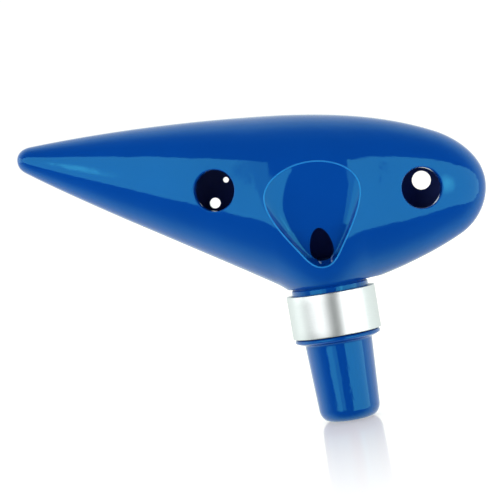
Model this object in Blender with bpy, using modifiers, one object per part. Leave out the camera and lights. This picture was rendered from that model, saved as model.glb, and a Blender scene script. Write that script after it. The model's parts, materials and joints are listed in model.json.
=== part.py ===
"""Twelve-hole transverse ocarina with a plug-in mouthpiece.

Standalone Blender 4.5 script. Units are metres and +Z is up. The mouthpiece's blowing end is at
z = 0. The tail points to -X and the wide end to +X. The underside, with the thumb holes and the
voicing dish, faces -Y, and the side with the finger holes faces +Y. Pieces are drawn with the
mouthpiece's axis on the Z axis, and empties then move them so that the whole object's middle is there.
"""

import math

import bmesh
import bpy
import numpy as np
from mathutils import Matrix, Vector

MM = 0.001

# ---------------------------------------------------------------- driving dimensions

# Outlines of the chamber, as chains of cubic Bezier curves from the tail's tip to the wide end.
# Edges are (x, z) and depths are (x, half of the thickness), in millimetres.
TAIL_TIP = (-110.0, 116.9)
WIDE_END = (64.4, 81.2)
TOP_EDGE = [
    TAIL_TIP, (-110.0, 119.6), (-108.0, 121.5), (-104.6, 121.8),
    (-77.6, 122.8), (-49.5, 121.9), (-21.5, 119.3),
    (4.5, 117.0), (28.5, 112.9), (49.5, 101.9),
    (57.0, 97.7), (64.4, 90.3), WIDE_END,
]
BOTTOM_EDGE = [
    TAIL_TIP, (-110.0, 114.5), (-109.0, 113.2), (-107.0, 111.8),
    (-83.0, 94.4), (-47.5, 73.2), (-18.5, 54.2),
    (-11.5, 48.4), (-6.0, 42.3), (0.0, 42.3),
    (6.0, 42.3), (12.2, 50.0), (17.5, 51.4),
    (28.0, 53.4), (42.0, 57.6), (52.3, 62.6),
    (59.4, 66.0), (64.4, 73.5), WIDE_END,
]
DEPTH = [
    (-110.0, 0.0), (-110.0, 2.8), (-108.2, 4.4), (-105.0, 5.4),
    (-97.0, 7.85), (-46.0, 16.1), (-20.0, 21.0),
    (-11.0, 22.7), (6.0, 22.6), (16.0, 19.7),
    (34.0, 14.5), (64.4, 13.2), (64.4, 0.0),
]
CHAMBER_START = -100.0 * MM  # the tail is solid beyond this
WALL = 3.0 * MM
GAP = 0.3 * MM  # clearance between pieces that touch

# Neck, which is half on each shell, and what fits in and on it.
NECK_RADIUS = 14.6 * MM
NECK_BOTTOM = 33.0 * MM
NECK_LIP = 52.0 * MM  # the chamber's rim stands proud of the neck here
TENON_BORE_RADIUS = 11.2 * MM
BLOCK_BOTTOM = 46.3 * MM
BLOCK_TOP = 61.3 * MM
BLOCK_RADIUS = 11.7 * MM
BLOCK_SKIN = 2.0 * MM
FERRULE_OUTER_RADIUS = 16.9 * MM
FERRULE_INNER_RADIUS = 14.9 * MM
FERRULE_TOP = 49.4 * MM

# Windway between the block and the thumb shell, up to the window.
WINDWAY_WIDTH = 9.4 * MM
WINDWAY_HEIGHT = 1.3 * MM
WINDWAY_TILT = math.radians(18.5)
WINDWAY_EXIT_FLOOR = (-12.0 * MM, BLOCK_TOP)  # (y, z) of the floor's top edge
THROAT_Y = -2.0 * MM  # where the air meets the block's underside
THROAT_TOP = 54.5 * MM

# Voicing dish and window: right halves of their outlines, (x, z) in millimetres, from the bottom.
DISH_RIM = [
    (0.0, 59.2), (3.2, 59.2), (5.2, 61.6), (7.2, 64.6),
    (10.5, 69.8), (17.8, 79.5), (17.8, 86.6),
    (17.8, 94.2), (8.5, 98.7), (0.0, 98.7),
]
WINDOW_EDGE = [
    (0.0, 61.8), (3.2, 61.8), (4.4, 63.5), (4.4, 65.6),
    (4.4, 69.5), (2.4, 73.9), (0.0, 73.9),
]
WINDOW_SILL_Y = -13.0 * MM
LABIUM_Y = -16.4 * MM
RIM_STEP = 0.3 * MM  # crisp edge round the dish
DISH_STEEPNESS = 3.2  # power of the dish's flanks: 1 is straight, and more is steeper at the rim
DISH_REACH = 7.0 * MM  # flanks narrower than this are straighter

# Holes, (x, z, diameter) in millimetres. Thumb holes are square to the surface at their centres,
# and finger holes run straight back along Y.
THUMB_HOLES = [(-35.9, 93.9, 15.4), (40.4, 82.3, 15.2)]
FINGER_HOLES = [
    (-20.5, 87.0, 6.6), (-39.0, 89.0, 4.1), (-57.5, 95.0, 5.6), (-74.5, 102.5, 4.6),
    (9.5, 100.0, 7.6), (27.0, 98.0, 8.2), (40.8, 84.7, 7.2), (44.5, 67.0, 6.4),
    (-33.5, 97.2, 2.2), (19.0, 89.5, 2.8),
]

# Mouthpiece.
END_RADIUS = 7.6 * MM
SPOUT_TIP_RADIUS = 11.65 * MM
SPOUT_TIP_HEIGHT = 5.0 * MM
SPOUT_RADIUS = 12.8 * MM
SPOUT_TOP = 29.6 * MM
BEAD_RADIUS = 16.3 * MM
BEAD_TOP = NECK_BOTTOM - GAP
TENON_RADIUS = TENON_BORE_RADIUS - GAP
TENON_TOP = BLOCK_BOTTOM - GAP
CORE_BORE_RADIUS = 7.9 * MM
END_WALL = 3.0 * MM
SLOT_MOUTH = (10.4 * MM, 3.0 * MM, 0.0)  # width, height and centre y at the blowing end
SLOT_INNER = (9.4 * MM, 1.8 * MM, -4.2 * MM)  # the same at the tenon's top
KEY_WIDTH = 3.0 * MM
KEY_RADIUS = 12.3 * MM
KEY_TOP = 36.8 * MM
SEAL_HEIGHTS = {"tenon_seal_lower": 39.3 * MM, "tenon_seal_upper": 43.4 * MM}
SEAL_WIRE_RADIUS = 0.75 * MM
SEAL_RADIUS = 10.3 * MM
GROOVE_RADIUS = 9.3 * MM
GROOVE_HALF_WIDTH = 1.05 * MM

CHAMBER_PIECES = ("thumb_shell", "finger_shell", "windway_block", "ferrule")

STATIONS = 48  # sections along the chamber
SECTION_POINTS = 32  # points round each section
OUTLINE_POINTS = 32  # points round the dish and the window
DISH_STEPS = 6  # rings from the dish's rim down to the window
TURN_STEPS = 40
SEAL_STEPS = 24


# ---------------------------------------------------------------- helpers

def clear_scene():
    for item in list(bpy.data.objects):
        bpy.data.objects.remove(item, do_unlink=True)
    for group in list(bpy.data.collections):
        bpy.data.collections.remove(group)


def new_collection(name, parent):
    group = bpy.data.collections.new(name)
    parent.children.link(group)
    return group


def make_material(name, color, roughness, metallic=0.0, coat=0.0):
    material = bpy.data.materials.new(name)
    material.use_nodes = True
    shader = material.node_tree.nodes["Principled BSDF"]
    shader.inputs["Base Color"].default_value = (*color, 1.0)
    shader.inputs["Roughness"].default_value = roughness
    shader.inputs["Metallic"].default_value = metallic
    shader.inputs["Coat Weight"].default_value = coat
    material.diffuse_color = (*color, 1.0)
    return material


def add_object(name, mesh_builder, group, material=None):
    mesh = bpy.data.meshes.new(name)
    mesh_builder.to_mesh(mesh)
    mesh_builder.free()
    item = bpy.data.objects.new(name, mesh)
    group.objects.link(item)
    if material:
        mesh.materials.append(material)
    return item


def as_cutter(item):
    item.hide_render = True
    item.display_type = "WIRE"
    return item


def box(name, low, high, group):
    """A box between two corners."""
    low, high = Vector(low), Vector(high)
    builder = bmesh.new()
    bmesh.ops.create_cube(builder, size=1.0)
    size = high - low
    bmesh.ops.scale(builder, vec=size, verts=builder.verts)
    bmesh.ops.translate(builder, vec=(low + high) / 2, verts=builder.verts)
    return add_object(name, builder, group)


def cylinder(name, radius, low, high, group, segments=TURN_STEPS, center=(0.0, 0.0)):
    """A cylinder along Z between two heights."""
    builder = bmesh.new()
    bmesh.ops.create_cone(
        builder, cap_ends=True, segments=segments, radius1=radius, radius2=radius, depth=high - low
    )
    bmesh.ops.translate(builder, vec=(*center, (low + high) / 2), verts=builder.verts)
    return add_object(name, builder, group)


def boolean(item, cutter, operation="DIFFERENCE", solver="EXACT"):
    modifier = item.modifiers.new(f"{operation.lower()}_{cutter.name}", "BOOLEAN")
    modifier.operation = operation
    modifier.solver = solver
    modifier.object = cutter


def turned(name, profile, group, material=None, steps=TURN_STEPS):
    """A profile of (radius, z) turned about the Z axis, given down its outer side."""
    builder = bmesh.new()
    corners = [builder.verts.new((radius, 0.0, height)) for radius, height in profile]
    for first, second in zip(corners, corners[1:] + corners[:1]):
        builder.edges.new((first, second))
    item = add_object(name, builder, group, material)
    screw = item.modifiers.new("turn", "SCREW")
    screw.steps = screw.render_steps = steps
    screw.use_merge_vertices = True
    screw.merge_threshold = 0.00001
    return item


def finish(item, angle=32.0):
    """Applies the modifiers and shades the piece smooth up to the given edge angle."""
    view = bpy.context.evaluated_depsgraph_get()
    mesh = bpy.data.meshes.new_from_object(item.evaluated_get(view))
    item.modifiers.clear()
    item.data = mesh
    builder = bmesh.new()
    builder.from_mesh(mesh)
    bmesh.ops.remove_doubles(builder, verts=builder.verts, dist=0.000002)
    bmesh.ops.dissolve_degenerate(builder, dist=0.000002, edges=builder.edges)
    bmesh.ops.triangulate(builder, faces=builder.faces)
    builder.to_mesh(mesh)
    builder.free()
    mesh.shade_smooth()
    mesh.set_sharp_from_angle(angle=math.radians(angle))
    return item


def arc(center, radius, start, end, count):
    """Points on an arc of a profile, with angles in degrees from the +radius direction."""
    turns = np.radians(np.linspace(start, end, count))
    return [(center[0] + radius * math.cos(a), center[1] + radius * math.sin(a)) for a in turns]


def bezier_chain(points, steps=60):
    """Points along joined cubic Bezier curves; neighbours share an end point."""
    points = np.array(points) * MM
    t = np.linspace(0.0, 1.0, steps, endpoint=False)[:, None]
    parts = []
    for k in range(0, len(points) - 1, 3):
        a, b, c, d = points[k:k + 4]
        parts.append(
            a * (1 - t) ** 3 + 3 * b * t * (1 - t) ** 2 + 3 * c * t ** 2 * (1 - t) + d * t ** 3
        )
    return np.vstack(parts + [points[-1:]])


def closed_outline(half, count):
    """Evenly spaced (x, z) points round a shape, from the right half of its outline."""
    right = bezier_chain(half)
    left = right[-2:0:-1] * [-1.0, 1.0]
    loop = np.vstack([right, left, right[:1]])
    along = np.concatenate([[0.0], np.cumsum(np.linalg.norm(np.diff(loop, axis=0), axis=1))])
    places = np.linspace(0.0, along[-1], count, endpoint=False)
    return np.stack([np.interp(places, along, loop[:, k]) for k in range(2)], axis=1)


TOP_LINE = bezier_chain(TOP_EDGE)
BOTTOM_LINE = bezier_chain(BOTTOM_EDGE)
DEPTH_LINE = bezier_chain(DEPTH)


def section(x):
    """Middle height, half height and half thickness of the chamber at x."""
    top = np.interp(x, TOP_LINE[:, 0], TOP_LINE[:, 1])
    bottom = np.interp(x, BOTTOM_LINE[:, 0], BOTTOM_LINE[:, 1])
    return (top + bottom) / 2, (top - bottom) / 2, np.interp(x, DEPTH_LINE[:, 0], DEPTH_LINE[:, 1])


def underside_y(x, z):
    """The chamber's outer surface on the thumb side."""
    middle, half, depth = section(x)
    return -depth * math.sqrt(max(0.0, 1.0 - ((z - middle) / half) ** 2))


def loft(rings, first_tip=None, last_tip=None):
    """A closed skin through rings of equal point counts, ending in tips or flat caps."""
    builder = bmesh.new()
    rows = [[builder.verts.new(point) for point in ring] for ring in rings]
    count = len(rows[0])
    for near, far in zip(rows, rows[1:]):
        for k in range(count):
            after = (k + 1) % count
            builder.faces.new((near[k], near[after], far[after], far[k]))
    for row, tip in ((rows[0], first_tip), (rows[-1], last_tip)):
        if tip is None:
            builder.faces.new(row)
            continue
        point = builder.verts.new(tip)
        for k in range(count):
            builder.faces.new((row[k], row[(k + 1) % count], point))
    bmesh.ops.recalc_face_normals(builder, faces=builder.faces)
    return builder


def chamber_loft(flat_end=None):
    """The chamber's outer surface: upright elliptical sections from the tail to the wide end.

    With flat_end, the tail is left off and the skin starts with a flat end at that x.
    """
    spacing = (1.0 - np.cos(np.linspace(0.0, math.pi, STATIONS + 2)[1:-1])) / 2
    start, end = TAIL_TIP[0] * MM, WIDE_END[0] * MM
    stations = start + (end - start) * spacing
    first = (start, 0.0, TAIL_TIP[1] * MM)
    if flat_end:
        stations = np.concatenate([[flat_end], stations[stations > flat_end + 1 * MM]])
        first = None
    turns = np.linspace(0.0, 2 * math.pi, SECTION_POINTS, endpoint=False)
    rings = []
    for x in stations:
        middle, half, depth = section(x)
        rings.append([(x, depth * math.sin(a), middle + half * math.cos(a)) for a in turns])
    return loft(rings, first, (end, 0.0, WIDE_END[1] * MM))


# ---------------------------------------------------------------- voicing

def dish_rings():
    """The dish's rim on the chamber's surface, and the window's edge at the dish's floor."""
    rim = np.array([
        (x, underside_y(x, z), z) for x, z in closed_outline(DISH_RIM, OUTLINE_POINTS)
    ])
    edge = closed_outline(WINDOW_EDGE, OUTLINE_POINTS)
    low, high = edge[:, 1].min(), edge[:, 1].max()
    window = np.array([
        (x, WINDOW_SILL_Y + (LABIUM_Y - WINDOW_SILL_Y) * (z - low) / (high - low), z)
        for x, z in edge
    ])
    return rim, window


def outward(ring):
    """Unit directions in the XZ plane, pointing away from the inside of a ring."""
    along = np.roll(ring, -1, axis=0) - np.roll(ring, 1, axis=0)
    normal = np.stack([along[:, 2], np.zeros(len(ring)), -along[:, 0]], axis=1)
    return normal / np.linalg.norm(normal, axis=1)[:, None]


def ramp_y(z):
    """Depth of the dish's flat floor: the ramp down to the labium, then along the window's sides."""
    heights = [WINDOW_EDGE[0][1] * MM, WINDOW_EDGE[-1][1] * MM, DISH_RIM[-1][1] * MM]
    return np.interp(z, heights, [WINDOW_SILL_Y, LABIUM_Y, underside_y(0.0, heights[-1])])


def scooped(rim, window, t, thicker=0.0):
    """The ring a part t of the way from the rim to the window, where flanks curve into the ramp."""
    across = window - rim
    ring = rim + across * t
    reach = np.hypot(across[:, 0], across[:, 2]) / DISH_REACH
    power = 1.0 + (DISH_STEEPNESS - 1.0) * np.minimum(1.0, reach ** 2)
    under = window[:, 1] - ramp_y(window[:, 2])
    flank = rim[:, 1] - ramp_y(rim[:, 2]) - under
    ring[:, 1] = ramp_y(ring[:, 2]) + under + flank * (1.0 - t) ** power
    ring[:, 1] += 4 * t * (1 - t) * thicker
    return ring


def dish_cutter(group):
    """The hollow of the dish, drawn out past the surface and in through the window."""
    rim, window = dish_rings()
    outside = rim + [0.0, -6.0 * MM, 0.0]
    ledge = rim + [0.0, RIM_STEP, 0.0]
    rings = [scooped(ledge, window, t) for t in np.linspace(0.0, 1.0, DISH_STEPS)]
    through = window + [0.0, 7.0 * MM, 0.0]
    return as_cutter(add_object("dish_hollow", loft([outside, *rings, through]), group))


def dish_backing(group):
    """The material behind the dish, which thins towards the window's edge."""
    rim, window = dish_rings()
    behind = rim + outward(rim) * WALL + [0.0, 0.6 * WALL, 0.0]
    outside = behind - [0.0, 8.0 * MM, 0.0]
    inside = window + outward(window) * 0.9 * MM + [0.0, 1.0 * MM, 0.0]
    rings = [scooped(behind, inside, t, 0.8 * MM) for t in np.linspace(0.0, 1.0, DISH_STEPS)]
    return as_cutter(add_object("dish_backing", loft([outside, *rings]), group))


def windway_box(name, width, below, above, group):
    """A box on the tilted windway plane, from below the floor to above it, along its slope."""
    builder = bmesh.new()
    bmesh.ops.create_cube(builder, size=1.0)
    length = 40.0 * MM
    bmesh.ops.scale(builder, vec=(width, above + below, length), verts=builder.verts)
    bmesh.ops.translate(builder, vec=(0.0, (below - above) / 2, 0.0), verts=builder.verts)
    bmesh.ops.rotate(builder, matrix=Matrix.Rotation(WINDWAY_TILT, 3, "X"), verts=builder.verts)
    floor = (0.0, *WINDWAY_EXIT_FLOOR)
    bmesh.ops.translate(builder, vec=floor, verts=builder.verts)
    return as_cutter(add_object(name, builder, group))


# ---------------------------------------------------------------- shells

def shell_cutters(group):
    """The cutters that both shells share."""
    core = as_cutter(cylinder("neck_core", NECK_RADIUS, 38 * MM, BLOCK_TOP, group))
    boss = as_cutter(box(
        "voicing_boss", (-8 * MM, -22 * MM, 50 * MM), (8 * MM, -8 * MM, BLOCK_TOP + 0.1 * MM), group
    ))
    cavity = as_cutter(add_object("tone_chamber", chamber_loft(CHAMBER_START), group))
    inset = cavity.modifiers.new("inset", "DISPLACE")
    inset.mid_level = 0.0
    inset.strength = -WALL
    for solid in (dish_backing(group), core, boss):
        boolean(cavity, solid)

    socket = as_cutter(cylinder(
        "block_socket", BLOCK_RADIUS + GAP, BLOCK_BOTTOM - GAP, BLOCK_TOP + 3 * MM, group
    ))
    tongue = as_cutter(box(
        "tongue_socket",
        (-WINDWAY_WIDTH / 2 - 1.6 * MM, -20 * MM, BLOCK_BOTTOM - GAP),
        (WINDWAY_WIDTH / 2 + 1.6 * MM, 0.0, BLOCK_TOP + 0.05 * MM),
        group,
    ))
    boolean(socket, tongue, "UNION")
    boolean(socket, windway_box("beyond_floor", 60 * MM, -GAP, 40 * MM, group))
    return {
        "below_lip": as_cutter(box(
            "below_lip", (-60 * MM, -60 * MM, 20 * MM), (60 * MM, 60 * MM, NECK_LIP), group
        )),
        "neck": as_cutter(cylinder("neck", NECK_RADIUS, NECK_BOTTOM, NECK_LIP + 4 * MM, group)),
        "cavity": cavity,
        "tenon_bore": as_cutter(cylinder(
            "tenon_bore", TENON_BORE_RADIUS, NECK_BOTTOM - 5 * MM, BLOCK_BOTTOM + 1 * MM, group
        )),
        "socket": socket,
    }


def surface_normal(x, z):
    """The outward direction of the chamber's surface on the thumb side."""
    step = 1 * MM
    slope_x = (underside_y(x + step, z) - underside_y(x - step, z)) / (2 * step)
    slope_z = (underside_y(x, z + step) - underside_y(x, z - step)) / (2 * step)
    return Vector((slope_x, -1.0, slope_z)).normalized()


def hole_cutters(name, holes, side, group):
    """Round cutters through one shell."""
    cutters = []
    for number, (x, z, diameter) in enumerate(holes, 1):
        x, z, radius = x * MM, z * MM, diameter / 2 * MM
        depth = underside_y(x, z)
        normal = surface_normal(x, z) if side < 0 else Vector((0.0, 1.0, 0.0))
        builder = bmesh.new()
        bmesh.ops.create_cone(
            builder, cap_ends=True, segments=20, radius1=radius, radius2=radius, depth=16 * MM
        )
        turn = normal.to_track_quat("Z", "X").to_matrix()
        bmesh.ops.rotate(builder, matrix=turn, verts=builder.verts)
        bmesh.ops.translate(builder, vec=(x, -side * depth, z), verts=builder.verts)
        cutters.append(as_cutter(add_object(f"{name}_{number}", builder, group)))
    return cutters


def make_shell(name, side, cutters, others, group, cutter_group, material):
    """One half of the chamber and neck; side is -1 for the thumb side and +1 for the finger side."""
    shell = add_object(name, chamber_loft(), group, material)
    boolean(shell, cutters["below_lip"])
    boolean(shell, cutters["neck"], "UNION")
    inner, outer = side * GAP / 2, -side * 60 * MM
    boolean(shell, as_cutter(box(
        f"{name}_parting",
        (-140 * MM, min(inner, outer), 10 * MM),
        (100 * MM, max(inner, outer), 150 * MM),
        cutter_group,
    )))
    for cutter in (cutters["cavity"], cutters["tenon_bore"], cutters["socket"], *others):
        boolean(shell, cutter, solver="MANIFOLD")
    return finish(shell)


# ---------------------------------------------------------------- neck and mouthpiece pieces

def make_block(group, cutter_group, material):
    """The windway block: a plug with a flat, tilted front face and a cored-out back."""
    block = cylinder("windway_block", BLOCK_RADIUS, BLOCK_BOTTOM, BLOCK_TOP, group)
    block.data.materials.append(material)
    tongue = as_cutter(box(
        "block_tongue",
        (-WINDWAY_WIDTH / 2 - 1.3 * MM, -20 * MM, BLOCK_BOTTOM),
        (WINDWAY_WIDTH / 2 + 1.3 * MM, -2 * MM, BLOCK_TOP),
        cutter_group,
    ))
    boolean(block, tongue, "UNION")
    boolean(block, windway_box("block_face", 60 * MM, 0.0, 40 * MM, cutter_group))

    floor_at_throat = WINDWAY_EXIT_FLOOR[0] + math.tan(WINDWAY_TILT) * (BLOCK_TOP - THROAT_TOP)
    throat = box(
        "throat",
        (-WINDWAY_WIDTH / 2, -20 * MM, BLOCK_BOTTOM - 1 * MM),
        (WINDWAY_WIDTH / 2, THROAT_Y, THROAT_TOP),
        cutter_group,
    )
    for corner in throat.data.vertices:
        if corner.co.z > BLOCK_BOTTOM and corner.co.y > -10 * MM:
            corner.co.y = floor_at_throat
    boolean(block, as_cutter(throat))

    core = as_cutter(cylinder(
        "block_core", BLOCK_RADIUS - BLOCK_SKIN, BLOCK_BOTTOM + BLOCK_SKIN, BLOCK_TOP + 5 * MM,
        cutter_group,
    ))
    front = as_cutter(box(
        "block_front",
        (-30 * MM, -30 * MM, BLOCK_BOTTOM - 5 * MM),
        (30 * MM, 0.5 * MM, BLOCK_TOP + 10 * MM),
        cutter_group,
    ))
    boolean(core, front)
    boolean(block, core)
    return finish(block)


def make_ferrule(group, material):
    """The metal ring round the neck, with small chamfers on its four edges."""
    chamfer = 0.35 * MM
    low, high = NECK_BOTTOM, FERRULE_TOP
    outer, inner = FERRULE_OUTER_RADIUS, FERRULE_INNER_RADIUS
    profile = [
        (inner + chamfer, high), (outer - chamfer, high), (outer, high - chamfer),
        (outer, low + chamfer), (outer - chamfer, low), (inner + chamfer, low),
        (inner, low + chamfer), (inner, high - chamfer),
    ]
    return finish(turned("ferrule", profile, group, material))


def mouthpiece_profile():
    """(radius, z) round the spout's wall: down the outside, and up the bore for the core."""
    tenon_chamfer = 0.6 * MM
    points = [(CORE_BORE_RADIUS, TENON_TOP), (TENON_RADIUS - tenon_chamfer, TENON_TOP)]
    points.append((TENON_RADIUS, TENON_TOP - tenon_chamfer))
    for height in sorted(SEAL_HEIGHTS.values(), reverse=True):
        top, bottom = height + GROOVE_HALF_WIDTH, height - GROOVE_HALF_WIDTH
        points += [
            (TENON_RADIUS, top), (GROOVE_RADIUS, top), (GROOVE_RADIUS, bottom), (TENON_RADIUS, bottom)
        ]
    points.append((TENON_RADIUS, BEAD_TOP))
    bead = 0.9 * MM
    points += arc((BEAD_RADIUS - bead, BEAD_TOP - bead), bead, 90, -35, 7)
    points += [(14.6 * MM, 30.5 * MM)]
    fillet = 1.0 * MM
    points += arc((SPOUT_RADIUS + fillet, SPOUT_TOP - 0.2 * MM), fillet, 100, 180, 5)
    points += [(SPOUT_TIP_RADIUS, SPOUT_TIP_HEIGHT)]
    quarter = np.radians(np.linspace(0, 90, 8))[1:]
    points += [
        (END_RADIUS + (SPOUT_TIP_RADIUS - END_RADIUS) * math.cos(a),
         SPOUT_TIP_HEIGHT * (1.0 - math.sin(a)))
        for a in quarter
    ]
    return points


def make_mouthpiece(group, cutter_group, slot, material):
    """The spout with its bead, tenon and key, bored from above for the windway core."""
    outside = mouthpiece_profile()
    mouthpiece = turned(
        "mouthpiece", outside + [(0.0, 0.0), (0.0, END_WALL), (CORE_BORE_RADIUS, END_WALL)],
        group, material,
    )
    key = as_cutter(box(
        "key",
        (-KEY_WIDTH / 2, TENON_RADIUS - 1 * MM, BEAD_TOP - 0.5 * MM),
        (KEY_WIDTH / 2, KEY_RADIUS, KEY_TOP),
        cutter_group,
    ))
    boolean(mouthpiece, key, "UNION")
    boolean(mouthpiece, slot)
    return finish(mouthpiece)


def make_windway_core(group, slot, material):
    """The push-in core that carries the flat air slot through the spout."""
    core = cylinder(
        "windway_core", CORE_BORE_RADIUS - GAP, END_WALL + GAP, TENON_TOP, group
    )
    core.data.materials.append(material)
    boolean(core, slot)
    return finish(core)


def air_slot(group):
    """The slot through the end wall and the core, which narrows and leans towards the underside."""
    builder = bmesh.new()
    bmesh.ops.create_cube(builder, size=1.0)
    reach = 1 * MM
    for corner in builder.verts:
        upper = corner.co.z > 0
        width, height, middle = SLOT_INNER if upper else SLOT_MOUTH
        corner.co.x *= width
        corner.co.y = middle + corner.co.y * height
        corner.co.z = TENON_TOP + reach if upper else -reach
    return as_cutter(add_object("air_slot", builder, group))


def make_seals(group, material):
    """Two rubber rings in the tenon's grooves."""
    for name, height in SEAL_HEIGHTS.items():
        ring = arc((SEAL_RADIUS, height), SEAL_WIRE_RADIUS, 180, -180, 9)[:-1]
        finish(turned(name, ring, group, material, SEAL_STEPS))


# ---------------------------------------------------------------- assembly

def new_empty(name, group, parent=None, location=(0.0, 0.0, 0.0)):
    empty = bpy.data.objects.new(name, None)
    group.objects.link(empty)
    empty.parent = parent
    empty.location = location
    empty.empty_display_size = 10 * MM
    return empty


def seat(pieces, cutter_group):
    """Hangs the pieces on empties that sit on the mouthpiece's axis.

    The chamber slides up and off along that axis, so its pieces have an empty of their own.
    """
    middle = (TAIL_TIP[0] + WIDE_END[0]) / 2 * MM
    fixed = list(pieces.objects)
    guides = list(cutter_group.objects)
    axis = new_empty("mouthpiece_axis", pieces, location=(-middle, 0.0, 0.0))
    slide = new_empty("chamber_slide", pieces, parent=axis)
    for item in fixed:
        item.parent = slide if item.name in CHAMBER_PIECES else axis
    for item in guides:
        item.parent = axis


def main():
    clear_scene()
    root = bpy.context.scene.collection
    pieces = new_collection("ocarina", root)
    cutter_group = new_collection("cutters", root)

    blue = make_material("blue_gloss_plastic", (0.006, 0.065, 0.34), 0.12, coat=0.5)
    inner_blue = make_material("blue_inner_plastic", (0.008, 0.07, 0.33), 0.35)
    aluminium = make_material("satin_aluminium", (0.80, 0.81, 0.82), 0.28, metallic=1.0)
    rubber = make_material("black_rubber", (0.02, 0.02, 0.022), 0.7)

    cutters = shell_cutters(cutter_group)
    slot_roof = windway_box(
        "windway_roof", WINDWAY_WIDTH, GAP, WINDWAY_HEIGHT, cutter_group
    )
    throat_roof = as_cutter(box(
        "windway_length",
        (-WINDWAY_WIDTH, -40 * MM, BLOCK_BOTTOM - GAP),
        (WINDWAY_WIDTH, 0.0, BLOCK_TOP + 0.9 * MM),
        cutter_group,
    ))
    boolean(slot_roof, throat_roof, "INTERSECT")
    thumb_holes = hole_cutters("thumb_hole", THUMB_HOLES, -1, cutter_group)
    finger_holes = hole_cutters("finger_hole", FINGER_HOLES, 1, cutter_group)
    key_way = as_cutter(box(
        "key_way",
        (-KEY_WIDTH / 2 - GAP, TENON_RADIUS - 2 * MM, NECK_BOTTOM - 2 * MM),
        (KEY_WIDTH / 2 + GAP, KEY_RADIUS + GAP, KEY_TOP + GAP),
        cutter_group,
    ))

    make_shell(
        "thumb_shell", -1, cutters, (dish_cutter(cutter_group), *thumb_holes, slot_roof),
        pieces, cutter_group, blue,
    )
    make_shell(
        "finger_shell", 1, cutters, (*finger_holes, key_way), pieces, cutter_group, blue
    )
    make_block(pieces, cutter_group, inner_blue)
    make_ferrule(pieces, aluminium)
    slot = air_slot(cutter_group)
    make_mouthpiece(pieces, cutter_group, slot, blue)
    make_windway_core(pieces, slot, inner_blue)
    make_seals(pieces, rubber)
    seat(pieces, cutter_group)


main()
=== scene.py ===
"""Studio scene of the twelve-hole ocarina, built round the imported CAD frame.

Lengths are metres, apart from the outlines and the lists of holes, which are millimetres. The pieces are
drawn with the mouthpiece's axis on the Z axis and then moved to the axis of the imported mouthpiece.
"""

import json
import math

import bmesh
import bpy
import numpy as np
from mathutils import Matrix, Vector
from mathutils.bvhtree import BVHTree

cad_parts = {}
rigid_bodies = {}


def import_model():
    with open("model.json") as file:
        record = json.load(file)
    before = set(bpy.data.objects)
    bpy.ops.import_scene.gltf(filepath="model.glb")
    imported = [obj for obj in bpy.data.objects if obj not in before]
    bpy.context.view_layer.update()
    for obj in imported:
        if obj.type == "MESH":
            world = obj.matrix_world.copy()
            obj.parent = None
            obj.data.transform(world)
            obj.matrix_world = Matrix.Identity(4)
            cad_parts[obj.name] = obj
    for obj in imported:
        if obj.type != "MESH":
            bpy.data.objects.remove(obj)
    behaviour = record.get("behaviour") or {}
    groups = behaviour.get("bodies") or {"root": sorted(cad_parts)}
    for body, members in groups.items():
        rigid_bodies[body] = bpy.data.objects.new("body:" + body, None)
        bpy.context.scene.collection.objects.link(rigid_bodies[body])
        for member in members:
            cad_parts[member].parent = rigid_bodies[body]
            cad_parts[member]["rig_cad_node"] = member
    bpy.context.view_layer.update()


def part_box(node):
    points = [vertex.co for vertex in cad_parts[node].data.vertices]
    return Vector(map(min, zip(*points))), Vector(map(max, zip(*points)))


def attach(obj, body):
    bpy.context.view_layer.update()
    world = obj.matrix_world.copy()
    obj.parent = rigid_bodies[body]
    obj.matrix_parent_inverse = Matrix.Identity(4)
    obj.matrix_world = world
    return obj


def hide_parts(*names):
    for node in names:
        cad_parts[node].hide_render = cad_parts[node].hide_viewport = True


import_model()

MM = 0.001
SPOUT_LOW, SPOUT_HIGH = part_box("mouthpiece")
AXIS_X = (SPOUT_LOW.x + SPOUT_HIGH.x) / 2

# ---------------------------------------------------------------- sizes

# An outline is a chain of cubic Bezier curves in millimetres: an end, two handles, the next end and so
# on. The chamber's are (x, z) from the tail to the wide end, and its depth is (x, half thickness).
TAIL_TIP = (-110.0, 116.9)
WIDE_END = (64.4, 81.2)
TOP_EDGE = [
    TAIL_TIP, (-110.0, 119.6), (-108.0, 121.5), (-104.6, 121.8),
    (-77.6, 122.8), (-49.5, 121.9), (-21.5, 119.3),
    (4.5, 117.0), (28.5, 112.9), (49.5, 101.9),
    (57.0, 97.7), (64.4, 90.3), WIDE_END,
]
BOTTOM_EDGE = [
    TAIL_TIP, (-110.0, 114.5), (-109.0, 113.2), (-107.0, 111.8),
    (-83.0, 94.4), (-47.5, 73.2), (-18.5, 54.2),
    (-11.5, 48.4), (-6.0, 42.3), (0.0, 42.3),
    (6.0, 42.3), (12.2, 50.0), (17.5, 51.4),
    (28.0, 53.4), (42.0, 57.6), (52.3, 62.6),
    (59.4, 66.0), (64.4, 73.5), WIDE_END,
]
DEPTH = [
    (-110.0, 0.0), (-110.0, 2.8), (-108.2, 4.4), (-105.0, 5.4),
    (-97.0, 7.85), (-46.0, 16.1), (-20.0, 21.0),
    (-11.0, 22.7), (6.0, 22.6), (16.0, 19.7),
    (34.0, 14.5), (64.4, 13.2), (64.4, 0.0),
]
CHAMBER_START = -100.0 * MM  # the tail is solid up to here
WALL = 3.0 * MM
SEAM = 0.03 * MM  # half of the hairline gap between the shells
GAP = 0.3 * MM  # clearance of the parts that fit into one another
FAR = 60.0 * MM  # past both shells, when something is cut off to one side
PARTING_LOW = (-140.0 * MM, 10.0 * MM)  # (x, z) past the object, where the shells are parted
PARTING_HIGH = (100.0 * MM, 150.0 * MM)

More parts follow.
